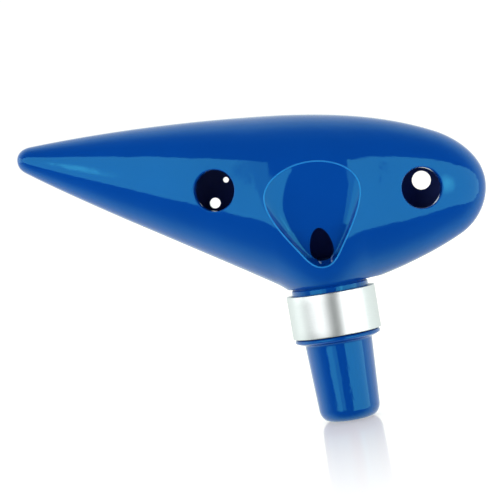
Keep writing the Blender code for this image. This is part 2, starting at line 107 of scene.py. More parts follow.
NECK_RADIUS = 14.6 * MM
NECK_BOTTOM = 33.0 * MM
NECK_LIP = 52.0 * MM
NECK_TOP = NECK_LIP + 4.0 * MM  # inside the chamber
NECK_CORE_BOTTOM = 38.0 * MM
NECK_LINE = 0.5 * MM  # depth of the V-shaped line under the chamber's lip
TENON_BORE_RADIUS = 11.2 * MM
BLOCK_BOTTOM = 46.3 * MM
BLOCK_TOP = 61.3 * MM
BLOCK_RADIUS = 11.7 * MM
BLOCK_SKIN = 2.0 * MM
# Two corners of the solid wall that is left standing round the windway's exit.
VOICING_BOSS = ((-8.0 * MM, -22.0 * MM, 50.0 * MM), (8.0 * MM, -8.0 * MM, BLOCK_TOP + 0.1 * MM))
FERRULE_OUTER_RADIUS = 16.9 * MM
FERRULE_INNER_RADIUS = 14.9 * MM
FERRULE_TOP = 49.4 * MM
FERRULE_EDGE_RADIUS = 0.35 * MM

WINDWAY_WIDTH = 9.4 * MM
WINDWAY_HEIGHT = 1.3 * MM
WINDWAY_TILT = math.radians(18.5)
WINDWAY_EXIT_FLOOR = (-12.0 * MM, BLOCK_TOP)  # (y, z)
WINDWAY_REACH = 40.0 * MM  # length of the boxes that are cut along the windway
TONGUE_HALF_WIDTH = WINDWAY_WIDTH / 2 + 1.3 * MM
TONGUE_FRONT = -20.0 * MM
TONGUE_BACK = -2.0 * MM
THROAT_TOP = 54.5 * MM

# The right halves, in (x, z), of the dish's rim and of the window's edge.
DISH_RIM = [
    (0.0, 59.2), (3.2, 59.2), (5.2, 61.6), (7.2, 64.6),
    (10.5, 69.8), (17.8, 79.5), (17.8, 86.6),
    (17.8, 94.2), (8.5, 98.7), (0.0, 98.7),
]
WINDOW_EDGE = [
    (0.0, 61.8), (3.2, 61.8), (4.4, 63.5), (4.4, 65.6),
    (4.4, 69.5), (2.4, 73.9), (0.0, 73.9),
]
WINDOW_SILL_Y = -13.0 * MM
LABIUM_Y = -16.4 * MM

# (x, z, diameter) in millimetres.
THUMB_HOLES = [(-35.9, 93.9, 15.4), (40.4, 82.3, 15.2)]
FINGER_HOLES = [
    (-20.5, 87.0, 6.6), (-39.0, 89.0, 4.1), (-57.5, 95.0, 5.6), (-74.5, 102.5, 4.6),
    (9.5, 100.0, 7.6), (27.0, 98.0, 8.2), (40.8, 84.7, 7.2), (44.5, 67.0, 6.4),
    (-33.5, 97.2, 2.2), (19.0, 89.5, 2.8),
]
SMALL_HOLE = 4.0  # finger holes up to this many millimetres have half the rounding
THUMB_SIDE, FINGER_SIDE = -1, 1  # the direction along Y in which each shell faces

END_RADIUS = 7.6 * MM  # the flat blowing end
SPOUT_TIP_RADIUS = 11.65 * MM
SPOUT_TIP_HEIGHT = 5.0 * MM
SPOUT_RADIUS = 12.8 * MM
SPOUT_TOP = 29.6 * MM
SPOUT_FILLET_RADIUS = 1.0 * MM
BEAD_RADIUS = 16.3 * MM
BEAD_EDGE_RADIUS = 0.9 * MM
BEAD_UNDERSIDE = (14.6 * MM, 30.5 * MM)  # (radius, z)
BEAD_TOP = NECK_BOTTOM - GAP
TENON_RADIUS = TENON_BORE_RADIUS - GAP
TENON_TOP = BLOCK_BOTTOM - GAP
CORE_BORE_RADIUS = 7.9 * MM
END_WALL = 3.0 * MM
# Width, height and middle, along Y, of the air slot at its two ends.
SLOT_MOUTH = (10.4 * MM, 3.0 * MM, 0.0)
SLOT_INNER = (9.4 * MM, 1.8 * MM, -4.2 * MM)
KEY_WIDTH = 3.0 * MM
KEY_RADIUS = 12.3 * MM
KEY_TOP = 36.8 * MM
SEAL_HEIGHTS = {"tenon_seal_lower": 39.3 * MM, "tenon_seal_upper": 43.4 * MM}
SEAL_WIRE_RADIUS = 0.75 * MM
SEAL_RADIUS = 10.3 * MM
GROOVE_RADIUS = 9.3 * MM
GROOVE_HALF_WIDTH = 1.05 * MM
GROOVE_EDGE = 0.15 * MM
TENON_CHAMFER = 0.6 * MM
CORE_CHAMFER = 0.4 * MM

# Rounding that the fine surface adds.
THUMB_ROUNDING = 0.8 * MM
FINGER_ROUNDING = 0.6 * MM
DISH_ROUNDING = 0.3 * MM
DISH_STEEPNESS = 3.2  # power of the dish's flanks: 1 is straight, and more is steeper at the rim
DISH_REACH = 7.0 * MM  # flanks narrower than this are straighter
RIM_BEAD_RADIUS = 0.3 * MM
RIM_BEAD_SINK = 0.1 * MM
WINDOW_ROUNDING = 0.2 * MM

# The wall behind the dish.
BACKING_MARGIN = 0.9 * MM  # round the window
BACKING_DEPTH = 1.0 * MM  # behind the window's edge
BACKING_BELLY = 0.8 * MM  # extra in the middle of the flanks

# How finely the surfaces are drawn.
CURVE_STEPS = 600
STATIONS = 300
SECTION_POINTS = 208
CAVITY_STATIONS = 120
CAVITY_POINTS = 96
DISH_POINTS = 220
DISH_RINGS = 26
BACKING_RINGS = 12
BEAD_POINTS = 16
HOLE_POINTS = 72
TURN_STEPS = 160
MERGE_DISTANCE = 0.0005 * MM
MARK_DISTANCE = 0.02 * MM  # faces this near a cutter's surface were cut by it
SKIN_DISTANCE = 0.004 * MM  # corners this near the uncut skin lie on it
SKIN_FACING = 0.86  # and their faces look the same way: the cosine of the widest angle allowed

# A shell's materials, by index: 0 is the outside.
# 1 is the tone chamber's wall, whose darker colour is painted shade
INSIDE_MATERIAL = 1
# 2 is the bead round the dish, whose paler colour is a painted highlight
BEAD_PAINTED_HIGHLIGHT_MATERIAL = 2


# ---------------------------------------------------------------- mesh helpers

def make_object(name, builder):
    mesh = bpy.data.meshes.new(name)
    builder.to_mesh(mesh)
    builder.free()
    item = bpy.data.objects.new(name, mesh)
    bpy.context.scene.collection.objects.link(item)
    return item


def box(name, low, high):
    low, high = Vector(low), Vector(high)
    builder = bmesh.new()
    bmesh.ops.create_cube(builder, size=1.0)
    bmesh.ops.scale(builder, vec=high - low, verts=builder.verts)
    bmesh.ops.translate(builder, vec=(low + high) / 2, verts=builder.verts)
    return make_object(name, builder)


def cylinder(name, radius, low, high):
    builder = bmesh.new()
    bmesh.ops.create_cone(
        builder, cap_ends=True, segments=TURN_STEPS, radius1=radius, radius2=radius, depth=high - low
    )
    bmesh.ops.translate(builder, vec=(0.0, 0.0, (low + high) / 2), verts=builder.verts)
    return make_object(name, builder)


def boolean(item, cutter, operation="DIFFERENCE", solver="MANIFOLD"):
    """Cuts one solid out of another, or joins the two. The exact solver fails on the lofted shells."""
    modifier = item.modifiers.new("cut", "BOOLEAN")
    modifier.operation = operation
    modifier.solver = solver
    modifier.object = cutter


def turned(name, profile):
    """A profile of (radius, z) turned about the Z axis, given down its outer side."""
    builder = bmesh.new()
    corners = [builder.verts.new((radius, 0.0, height)) for radius, height in profile]
    for first, second in zip(corners, corners[1:] + corners[:1]):
        builder.edges.new((first, second))
    item = make_object(name, builder)
    screw = item.modifiers.new("turn", "SCREW")
    screw.steps = screw.render_steps = TURN_STEPS
    screw.use_merge_vertices = True
    screw.merge_threshold = 2 * MERGE_DISTANCE
    return item


def bake(item, angle=30.0):
    """Applies the modifiers, and shades smooth up to the given edge angle."""
    view = bpy.context.evaluated_depsgraph_get()
    mesh = bpy.data.meshes.new_from_object(item.evaluated_get(view))
    item.modifiers.clear()
    item.data = mesh
    builder = bmesh.new()
    builder.from_mesh(mesh)
    bmesh.ops.remove_doubles(builder, verts=builder.verts, dist=MERGE_DISTANCE)
    bmesh.ops.dissolve_degenerate(builder, dist=MERGE_DISTANCE, edges=builder.edges)
    bmesh.ops.triangulate(builder, faces=builder.faces)
    builder.to_mesh(mesh)
    builder.free()
    mesh.shade_smooth()
    mesh.set_sharp_from_angle(angle=math.radians(angle))
    return item


def arc(center, radius, start, end, count):
    """Points on an arc, between two angles in degrees."""
    turns = np.radians(np.linspace(start, end, count))
    return [(center[0] + radius * math.cos(a), center[1] + radius * math.sin(a)) for a in turns]


def bezier_chain(points):
    """Points along joined cubic Bezier curves; neighbours share an end point."""
    points = np.array(points) * MM
    t = np.linspace(0.0, 1.0, CURVE_STEPS, endpoint=False)[:, None]
    parts = []
    for k in range(0, len(points) - 1, 3):
        a, b, c, d = points[k:k + 4]
        parts.append(
            a * (1 - t) ** 3 + 3 * b * t * (1 - t) ** 2 + 3 * c * t ** 2 * (1 - t) + d * t ** 3
        )
    return np.vstack(parts + [points[-1:]])


def unit(rows):
    return rows / np.linalg.norm(rows, axis=1)[:, None]


def closed_outline(half, count):
    """Evenly spaced (x, z) points round a shape, from the right half of its outline."""
    right = bezier_chain(half)
    left = right[-2:0:-1] * [-1.0, 1.0]
    loop = np.vstack([right, left, right[:1]])
    along = np.concatenate([[0.0], np.cumsum(np.linalg.norm(np.diff(loop, axis=0), axis=1))])
    places = np.linspace(0.0, along[-1], count, endpoint=False)
    return np.stack([np.interp(places, along, loop[:, k]) for k in range(2)], axis=1)


def bridge(builder, near, far):
    """Faces between two rings of equal point counts."""
    for k in range(len(near)):
        after = (k + 1) % len(near)
        builder.faces.new((near[k], near[after], far[after], far[k]))


def loft(rings, first_tip=None, last_tip=None):
    """A closed skin through rings of equal point counts, ending in tips or flat caps."""
    builder = bmesh.new()
    rows = [[builder.verts.new(point) for point in ring] for ring in rings]
    for near, far in zip(rows, rows[1:]):
        bridge(builder, near, far)
    for row, tip in ((rows[0], first_tip), (rows[-1], last_tip)):
        if tip is None:
            builder.faces.new(row)
            continue
        point = builder.verts.new(tip)
        for k in range(len(row)):
            builder.faces.new((row[k], row[(k + 1) % len(row)], point))
    bmesh.ops.recalc_face_normals(builder, faces=builder.faces)
    return builder


# ---------------------------------------------------------------- the chamber's surface

TOP_LINE = bezier_chain(TOP_EDGE)
BOTTOM_LINE = bezier_chain(BOTTOM_EDGE)
DEPTH_LINE = bezier_chain(DEPTH)


def section(x):
    """Middle height, half height and half thickness of the chamber at x."""
    top = np.interp(x, TOP_LINE[:, 0], TOP_LINE[:, 1])
    bottom = np.interp(x, BOTTOM_LINE[:, 0], BOTTOM_LINE[:, 1])
    return (top + bottom) / 2, (top - bottom) / 2, np.interp(x, DEPTH_LINE[:, 0], DEPTH_LINE[:, 1])


def beyond(points):
    """Positive outside the chamber's outer surface and negative inside it."""
    middle, half, depth = section(points[:, 0])
    half, depth = np.maximum(half, 1e-6), np.maximum(depth, 1e-6)
    return (points[:, 1] / depth) ** 2 + ((points[:, 2] - middle) / half) ** 2 - 1.0


def surface_hits(points, out):
    """Where lines through the points, along out, leave the chamber's outer surface."""
    reach = 9.0 * MM
    halvings = 40
    inside = np.full(len(points), -reach)
    outside = np.full(len(points), reach)
    for _ in range(halvings):
        middle = (inside + outside) / 2
        is_out = beyond(points + middle[:, None] * out) > 0
        outside = np.where(is_out, middle, outside)
        inside = np.where(is_out, inside, middle)
    return points + inside[:, None] * out


def underside_y(x, z):
    """The chamber's surface on the thumb side."""
    middle, half, depth = section(x)
    return -depth * np.sqrt(np.maximum(0.0, 1.0 - ((z - middle) / half) ** 2))


def outward_normals(x, z, step):
    """Outward directions of the thumb side's surface, from its rise over a step to each side."""
    rise_x = underside_y(x + step, z) - underside_y(x - step, z)
    rise_z = underside_y(x, z + step) - underside_y(x, z - step)
    return unit(np.stack([rise_x, np.full(len(x), -2 * step), rise_z], axis=1))


def chamber_loft(station_count=STATIONS, points=SECTION_POINTS, flat_end=None):
    """The outer surface: upright elliptical sections from the tail to the wide end.

    With flat_end, the sections start there with a flat cap in place of the tail's tip.
    """
    spacing = (1.0 - np.cos(np.linspace(0.0, math.pi, station_count + 2)[1:-1])) / 2
    start, end = TAIL_TIP[0] * MM, WIDE_END[0] * MM
    stations = start + (end - start) * spacing
    first = (start, 0.0, TAIL_TIP[1] * MM)
    if flat_end:
        stations = np.concatenate([[flat_end], stations[stations > flat_end + 1 * MM]])
        first = None
    turns = np.linspace(0.0, 2 * math.pi, points, endpoint=False)
    rings = []
    for x in stations:
        middle, half, depth = section(x)
        rings.append([(x, depth * math.sin(a), middle + half * math.cos(a)) for a in turns])
    return loft(rings, first, (end, 0.0, WIDE_END[1] * MM))


def outward(ring):
    """Unit directions in the XZ plane, pointing away from the inside of a ring."""
    along = np.roll(ring, -1, axis=0) - np.roll(ring, 1, axis=0)
    normal = np.stack([along[:, 2], np.zeros(len(ring)), -along[:, 0]], axis=1)
    return unit(normal)


def rounded(start, corner, end, count=8):
    """Rings along a rounded corner, from start to end."""
    return [
        start * (1 - t) ** 2 + corner * 2 * t * (1 - t) + end * t ** 2
        for t in np.linspace(0.0, 1.0, count)
    ]


def dish_lines():
    """The dish's rim on the outer surface, and the window's edge at the dish's floor."""
    outline = closed_outline(DISH_RIM, DISH_POINTS)
    rim = np.stack([outline[:, 0], underside_y(outline[:, 0], outline[:, 1]), outline[:, 1]], axis=1)
    edge = closed_outline(WINDOW_EDGE, DISH_POINTS)
    low, high = edge[:, 1].min(), edge[:, 1].max()
    depth = WINDOW_SILL_Y + (LABIUM_Y - WINDOW_SILL_Y) * (edge[:, 1] - low) / (high - low)
    return rim, np.stack([edge[:, 0], depth, edge[:, 1]], axis=1)


def ramp_y(z):
    """Depth of the dish's flat floor: the ramp down to the labium, then along the window's sides."""
    heights = [WINDOW_EDGE[0][1] * MM, WINDOW_EDGE[-1][1] * MM, DISH_RIM[-1][1] * MM]
    return np.interp(z, heights, [WINDOW_SILL_Y, LABIUM_Y, underside_y(0.0, heights[-1])])


def scooped(rim, window, t, thicker=0.0):
    """The ring a part t of the way from the rim to the window, where flanks curve into the ramp.

    Thicker is how far the middle of a flank is pushed inwards.
    """
    across = window - rim
    ring = rim + across * t
    reach = np.hypot(across[:, 0], across[:, 2]) / DISH_REACH
    power = 1.0 + (DISH_STEEPNESS - 1.0) * np.minimum(1.0, reach ** 2)
    under = window[:, 1] - ramp_y(window[:, 2])
    flank = rim[:, 1] - ramp_y(rim[:, 2]) - under
    ring[:, 1] = ramp_y(ring[:, 2]) + under + flank * (1.0 - t) ** power
    ring[:, 1] += 4 * t * (1 - t) * thicker
    return ring


def dish_cutter():
    """The hollow of the dish, with its rim and the window's edge rounded over."""
    rim, window = dish_lines()
    lip = rim + outward(rim) * DISH_ROUNDING
    lip[:, 1] = underside_y(lip[:, 0], lip[:, 2]) - 0.05 * MM
    near = 0.02
    start = unit(scooped(rim, window, near) - rim)
    end = unit(window - scooped(rim, window, 1.0 - near))
    inward = np.array([0.0, 1.0, 0.0])
    top = rounded(lip, rim, rim + start * DISH_ROUNDING)
    low = rounded(window - end * WINDOW_ROUNDING, window, window + inward * WINDOW_ROUNDING, 5)
    middle = [scooped(rim, window, t) for t in np.linspace(0.0, 1.0, DISH_RINGS)[1:-1]]
    rings = [lip - inward * 6 * MM, *top, *middle, *low, window + inward * 7 * MM]
    return make_object("dish_hollow", loft(rings))


def rim_bead():
    """The fine raised bead that runs round the dish's rim."""
    rim, _ = dish_lines()
    out = outward_normals(rim[:, 0], rim[:, 2], 0.2 * MM)
    along = unit(np.roll(rim, -1, axis=0) - np.roll(rim, 1, axis=0))
    beside = np.cross(along, out)
    centre = rim - out * RIM_BEAD_SINK
    turns = np.linspace(0.0, 2 * math.pi, BEAD_POINTS, endpoint=False)
    circles = [centre + RIM_BEAD_RADIUS * (math.cos(a) * out + math.sin(a) * beside) for a in turns]
    builder = bmesh.new()
    rows = [[builder.verts.new(point) for point in ring] for ring in np.stack(circles, axis=1)]
    for near, far in zip(rows, rows[1:] + rows[:1]):
        bridge(builder, near, far)
    bmesh.ops.recalc_face_normals(builder, faces=builder.faces)
    return make_object("rim_bead", builder)


def dish_backing():
    """The wall behind the dish and round the window, which is left standing in the tone chamber."""
    rim, window = dish_lines()
    behind = rim + outward(rim) * WALL + [0.0, 0.6 * WALL, 0.0]
    outside = behind - [0.0, 8.0 * MM, 0.0]
    inside = window + outward(window) * BACKING_MARGIN + [0.0, BACKING_DEPTH, 0.0]
    rings = [scooped(behind, inside, t, BACKING_BELLY) for t in np.linspace(0.0, 1.0, BACKING_RINGS)]
    return make_object("dish_backing", loft([outside, *rings]))


def hole_cutter(x, z, diameter, side, rounding):
    """A round hole whose outer edge is rounded over, all the way round, on the curved surface.

    Thumb holes are square to the surface, and finger holes are straight along Y.
    """
    x, z, radius = x * MM, z * MM, diameter / 2 * MM
    out = Vector((0.0, 1.0, 0.0))
    if side == THUMB_SIDE:
        out = Vector(outward_normals(np.array([x]), np.array([z]), 1.0 * MM)[0])
    across = out.orthogonal().normalized()
    other = out.cross(across)
    turns = np.linspace(0.0, 2 * math.pi, HOLE_POINTS, endpoint=False)
    around = np.outer(np.cos(turns), across) + np.outer(np.sin(turns), other)
    centre = np.array([x, -side * underside_y(x, z), z])
    out = np.array(out)
    edge = surface_hits(centre + around * radius, out)
    lip = surface_hits(centre + around * (radius + rounding), out) + out * 0.06 * MM
    below = edge - out * rounding
    beyond_wall = 4.0 * MM
    rings = [below - out * (WALL + beyond_wall), *rounded(below, edge, lip), lip + out * beyond_wall]
    return make_object("hole", loft(rings))


def windway_box(name, width, below, above):
    """A box on the tilted windway plane, from below the floor to above it, along its slope."""
    builder = bmesh.new()
    bmesh.ops.create_cube(builder, size=1.0)
    bmesh.ops.scale(builder, vec=(width, above + below, WINDWAY_REACH), verts=builder.verts)
    bmesh.ops.translate(builder, vec=(0.0, (below - above) / 2, 0.0), verts=builder.verts)
    bmesh.ops.rotate(builder, matrix=Matrix.Rotation(WINDWAY_TILT, 3, "X"), verts=builder.verts)
    bmesh.ops.translate(builder, vec=(0.0, *WINDWAY_EXIT_FLOOR), verts=builder.verts)
    return make_object(name, builder)


# ---------------------------------------------------------------- shells

def neck_profile():
    """(radius, z) down the neck, with the line that parts it from the chamber's lip."""
    line_top = NECK_LIP + 0.1 * MM
    return [
        (0.0, NECK_TOP), (NECK_RADIUS, NECK_TOP), (NECK_RADIUS, line_top),
        (NECK_RADIUS - NECK_LINE, line_top - NECK_LINE), (NECK_RADIUS, line_top - 2 * NECK_LINE),
        (NECK_RADIUS, NECK_BOTTOM), (0.0, NECK_BOTTOM),
    ]


def shell_cutters():
    """The solids that shape both shells: what is added or cut away, before the holes and the dish."""
    core = cylinder("neck_core", NECK_RADIUS, NECK_CORE_BOTTOM, BLOCK_TOP)
    boss = box("voicing_boss", *VOICING_BOSS)
    cavity = make_object("tone_chamber", chamber_loft(CAVITY_STATIONS, CAVITY_POINTS, CHAMBER_START))
    inset = cavity.modifiers.new("inset", "DISPLACE")
    inset.mid_level = 0.0
    inset.strength = -WALL
    for solid in (dish_backing(), core, boss):
        boolean(cavity, solid)
    socket = cylinder("block_socket", BLOCK_RADIUS + GAP, BLOCK_BOTTOM - GAP, BLOCK_TOP + 3 * MM)
    tongue = box(
        "tongue_socket",
        (-TONGUE_HALF_WIDTH - GAP, TONGUE_FRONT, BLOCK_BOTTOM - GAP),
        (TONGUE_HALF_WIDTH + GAP, 0.0, BLOCK_TOP + 0.05 * MM),
    )
    boolean(socket, tongue, "UNION", "EXACT")
    boolean(socket, windway_box("beyond_floor", FAR, -GAP, WINDWAY_REACH), solver="EXACT")
    return {
        "below_lip": box("below_lip", (-FAR, -FAR, 20 * MM), (FAR, FAR, NECK_LIP)),
        "neck": turned("neck", neck_profile()),
        "cavity": cavity,
        "tenon_bore": cylinder(
            "tenon_bore", TENON_BORE_RADIUS, NECK_BOTTOM - 5 * MM, BLOCK_BOTTOM + 1 * MM
        ),
        "socket": socket,
    }


def mark_faces(item, solid, index):
    """Gives the faces that lie on another solid's surface the material with that index."""
    tree = BVHTree.FromObject(solid, bpy.context.evaluated_depsgraph_get())
    for polygon in item.data.polygons:
        if tree.find_nearest(polygon.center, MARK_DISTANCE)[0] is not None:
            polygon.material_index = index


def give_skin_normals(item, skin):
    """Gives the corners that lie on the uncut skin its own smooth normals."""
    skin_mesh = skin.data
    tree = BVHTree.FromPolygons(
        [v.co for v in skin_mesh.vertices], [tuple(p.vertices) for p in skin_mesh.polygons],
        epsilon=0.0,
    )
    skin_normals = np.empty((len(skin_mesh.vertices), 3), np.float32)
    skin_mesh.vertices.foreach_get("normal", skin_normals.ravel())
    skin_places = np.empty((len(skin_mesh.vertices), 3), np.float32)
    skin_mesh.vertices.foreach_get("co", skin_places.ravel())
    mesh = item.data
    on_skin = {}
    for vertex in mesh.vertices:
        place, _, face, _ = tree.find_nearest(vertex.co, SKIN_DISTANCE)
        if place is None:
            continue
        corners = list(skin_mesh.polygons[face].vertices)
        gaps = np.linalg.norm(skin_places[corners] - np.array(vertex.co, np.float32), axis=1)
        weights = 1.0 / np.maximum(gaps, 1e-8) ** 2
        on_skin[vertex.index] = Vector((weights[:, None] * skin_normals[corners]).sum(0)).normalized()
    corner_normals = [Vector(c.vector) for c in mesh.corner_normals]
    for polygon in mesh.polygons:
        for loop in polygon.loop_indices:
            normal = on_skin.get(mesh.loops[loop].vertex_index)
            if normal is not None and normal.dot(polygon.normal) > SKIN_FACING:
                corner_normals[loop] = normal
    mesh.normals_split_custom_set([tuple(n) for n in corner_normals])


def make_shell(name, side, cutters, others, skin, added=()):
    """Half of the hollow chamber and neck, with the other cutters taken out and some solids added."""
    shell = make_object(name, chamber_loft())
    boolean(shell, cutters["below_lip"])
    boolean(shell, cutters["neck"], "UNION")
    near, far = sorted((side * SEAM, -side * FAR))
    boolean(shell, box(
        f"{name}_parting",
        (PARTING_LOW[0], near, PARTING_LOW[1]),
        (PARTING_HIGH[0], far, PARTING_HIGH[1]),
    ))
    for cutter in (cutters["cavity"], cutters["tenon_bore"], cutters["socket"], *others):
        boolean(shell, cutter)
    for solid in added:
        boolean(shell, solid, "UNION")
    bake(shell, 32.0)
    mark_faces(shell, cutters["cavity"], INSIDE_MATERIAL)
    for solid in added:
        mark_faces(shell, solid, BEAD_PAINTED_HIGHLIGHT_MATERIAL)
    give_skin_normals(shell, skin)
    return shell


# ---------------------------------------------------------------- neck and mouthpiece pieces

def make_block():
    """The windway block: a plug with a flat, tilted front face and a cored-out back."""
    block = cylinder("windway_block_fine", BLOCK_RADIUS, BLOCK_BOTTOM, BLOCK_TOP)
    tongue = box(
        "block_tongue",
        (-TONGUE_HALF_WIDTH, TONGUE_FRONT, BLOCK_BOTTOM),
        (TONGUE_HALF_WIDTH, TONGUE_BACK, BLOCK_TOP),
    )
    boolean(block, tongue, "UNION", "EXACT")
    boolean(block, windway_box("block_face", FAR, 0.0, WINDWAY_REACH), solver="EXACT")
    floor_at_throat = WINDWAY_EXIT_FLOOR[0] + math.tan(WINDWAY_TILT) * (BLOCK_TOP - THROAT_TOP)
    throat = box(
        "throat",
        (-WINDWAY_WIDTH / 2, TONGUE_FRONT, BLOCK_BOTTOM - 1 * MM),
        (WINDWAY_WIDTH / 2, TONGUE_BACK, THROAT_TOP),
    )
    for corner in throat.data.vertices:
        if corner.co.z > BLOCK_BOTTOM and corner.co.y > -10 * MM:
            corner.co.y = floor_at_throat
    boolean(block, throat, solver="EXACT")
    core = cylinder(
        "block_core", BLOCK_RADIUS - BLOCK_SKIN, BLOCK_BOTTOM + BLOCK_SKIN, BLOCK_TOP + 5 * MM
    )
    front = box(
        "block_front",
        (-30 * MM, -30 * MM, BLOCK_BOTTOM - 5 * MM),
        (30 * MM, 0.5 * MM, BLOCK_TOP + 10 * MM),
    )
    boolean(core, front, solver="EXACT")
    boolean(block, core, solver="EXACT")
    return bake(block)


def make_ferrule():
    """The metal ring: turned, with a small rolled edge at each end."""
    edge = FERRULE_EDGE_RADIUS
    low, high = NECK_BOTTOM, FERRULE_TOP
    outer, inner = FERRULE_OUTER_RADIUS, FERRULE_INNER_RADIUS
    profile = [(inner + edge, high), *arc((outer - edge, high - edge), edge, 90, 0, 7)]
    profile += [(outer, high + (low - high) * t) for t in (0.2, 0.4, 0.6, 0.8)]
    profile += arc((outer - edge, low + edge), edge, 0, -90, 7)
    profile += arc((inner + edge, low + edge), edge, -90, -180, 5)
    profile += arc((inner + edge, high - edge), edge, 180, 90, 5)[:-1]
    return bake(turned("ferrule_fine", profile), 40)


def mouthpiece_profile():
    """(radius, z) down the outside of the spout, from the tenon's top to the blowing end."""
    chamfer = TENON_CHAMFER
    points = [(CORE_BORE_RADIUS, TENON_TOP), (TENON_RADIUS - chamfer, TENON_TOP)]
    points += arc((TENON_RADIUS - chamfer, TENON_TOP - chamfer), chamfer, 80, 0, 6)
    for height in sorted(SEAL_HEIGHTS.values(), reverse=True):
        top, bottom = height + GROOVE_HALF_WIDTH, height - GROOVE_HALF_WIDTH
        points += [
            (TENON_RADIUS, top + GROOVE_EDGE), (TENON_RADIUS - GROOVE_EDGE, top),
            (GROOVE_RADIUS, top), (GROOVE_RADIUS, bottom),
            (TENON_RADIUS - GROOVE_EDGE, bottom), (TENON_RADIUS, bottom - GROOVE_EDGE),
        ]
    points.append((TENON_RADIUS, BEAD_TOP))
    bead = BEAD_EDGE_RADIUS
    points += arc((BEAD_RADIUS - bead, BEAD_TOP - bead), bead, 90, -35, 14)
    points.append(BEAD_UNDERSIDE)
    fillet = SPOUT_FILLET_RADIUS
    points += arc((SPOUT_RADIUS + fillet, SPOUT_TOP - 0.2 * MM), fillet, 100, 180, 10)
    top = np.array(points[-1])
    tip = np.array([SPOUT_TIP_RADIUS, SPOUT_TIP_HEIGHT])
    points += [tuple(top * (1 - t) + tip * t) for t in np.linspace(0, 1, 8)[1:]]
    quarter = np.radians(np.linspace(0, 90, 22))[1:]
    points += [
        (END_RADIUS + (SPOUT_TIP_RADIUS - END_RADIUS) * math.cos(a),
         SPOUT_TIP_HEIGHT * (1.0 - math.sin(a)))
        for a in quarter
    ]
    return points


def air_slot():
    """The slot through the end wall and the core, which narrows and leans towards the underside."""
    builder = bmesh.new()
    bmesh.ops.create_cube(builder, size=1.0)
    reach = 1 * MM
    for corner in builder.verts:
        upper = corner.co.z > 0
        width, height, middle = SLOT_INNER if upper else SLOT_MOUTH
        corner.co.x *= width
        corner.co.y = middle + corner.co.y * height
        corner.co.z = TENON_TOP + reach if upper else -reach
    return make_object("air_slot", builder)


def make_mouthpiece(slot):
    """The spout with its bead, tenon and key, bored from above for the windway core."""
    inside = [(0.0, 0.0), (0.0, END_WALL), (CORE_BORE_RADIUS, END_WALL)]
    mouthpiece = turned("mouthpiece_fine", mouthpiece_profile() + inside)
    key = box(
        "key",
        (-KEY_WIDTH / 2, TENON_RADIUS - 1 * MM, BEAD_TOP - 0.5 * MM),
        (KEY_WIDTH / 2, KEY_RADIUS, KEY_TOP),
    )
    boolean(mouthpiece, key, "UNION", "EXACT")
    boolean(mouthpiece, slot, solver="EXACT")
    return bake(mouthpiece, 35)


def make_windway_core(slot):
    """The push-in core that carries the flat air slot through the spout."""
    chamfer = CORE_CHAMFER
    radius = CORE_BORE_RADIUS - GAP
    low, high = END_WALL + GAP, TENON_TOP
    profile = [
        (0.0, high), (radius - chamfer, high), (radius, high - chamfer),
        (radius, low + chamfer), (radius - chamfer, low), (0.0, low),
    ]
    core = turned("windway_core_fine", profile)
    boolean(core, slot, solver="EXACT")
    return bake(core)


def make_seal(name, height):
    """A round rubber ring about the tenon."""
    ring = arc((SEAL_RADIUS, height), SEAL_WIRE_RADIUS, 180, -180, 33)[:-1]
    return bake(turned(f"{name}_fine", ring), 180)


# ---------------------------------------------------------------- materials

BLUE_SHEEN = (0.12, 0.9, 1.0, 1.0)  # the tint of the blue plastic's reflections


class Nodes:
    """Short ways to add and join shader nodes."""

    def __init__(self, name):
        self.material = bpy.data.materials.new(name)
        self.material.use_nodes = True
        self.tree = self.material.node_tree
        self.shader = self.tree.nodes["Principled BSDF"]
        self.place = self.add("ShaderNodeTexCoord").outputs["Object"]

    def add(self, kind, **values):
        node = self.tree.nodes.new(kind)
        for name, value in values.items():
            setattr(node, name, value)
        return node

    def join(self, output, socket):
        self.tree.links.new(output, socket)

    def feed(self, name, output):
        """Joins an output to the shader's input of that name."""
        self.join(output, self.shader.inputs[name])

    def noise(self, scale, detail=2.0, roughness=0.5, stretch=(1.0, 1.0, 1.0)):
        mapping = self.add("ShaderNodeMapping")
        mapping.inputs["Scale"].default_value = stretch
        self.join(self.place, mapping.inputs["Vector"])
        noise = self.add("ShaderNodeTexNoise")
        noise.inputs["Scale"].default_value = scale
        noise.inputs["Detail"].default_value = detail
        noise.inputs["Roughness"].default_value = roughness
        self.join(mapping.outputs["Vector"], noise.inputs["Vector"])
        return noise.outputs["Fac"]

    def between(self, factor, low, high, low_at=0.0, high_at=1.0):
        """A number that runs from low to high as factor runs from low_at to high_at."""
        node = self.add("ShaderNodeMapRange")
        node.inputs["From Min"].default_value = low_at
        node.inputs["From Max"].default_value = high_at
        node.inputs["To Min"].default_value = low
        node.inputs["To Max"].default_value = high
        self.join(factor, node.inputs["Value"])
        return node.outputs["Result"]

    def colors(self, factor, first, second):
        ramp = self.add("ShaderNodeValToRGB")
        stops = ((0.3, first), (0.7, second))
        for element, (position, color) in zip(ramp.color_ramp.elements, stops):
            element.position = position
            element.color = (*color, 1.0)
        self.join(factor, ramp.inputs["Fac"])
        return ramp.outputs["Color"]

    def bump(self, height, strength, distance, under=None):
        node = self.add("ShaderNodeBump")
        node.inputs["Strength"].default_value = strength
        node.inputs["Distance"].default_value = distance
        self.join(height, node.inputs["Height"])
        if under:
            self.join(under, node.inputs["Normal"])
        return node.outputs["Normal"]

    def set(self, **values):
        for name, value in values.items():
            self.shader.inputs[name.replace("_", " ")].default_value = value


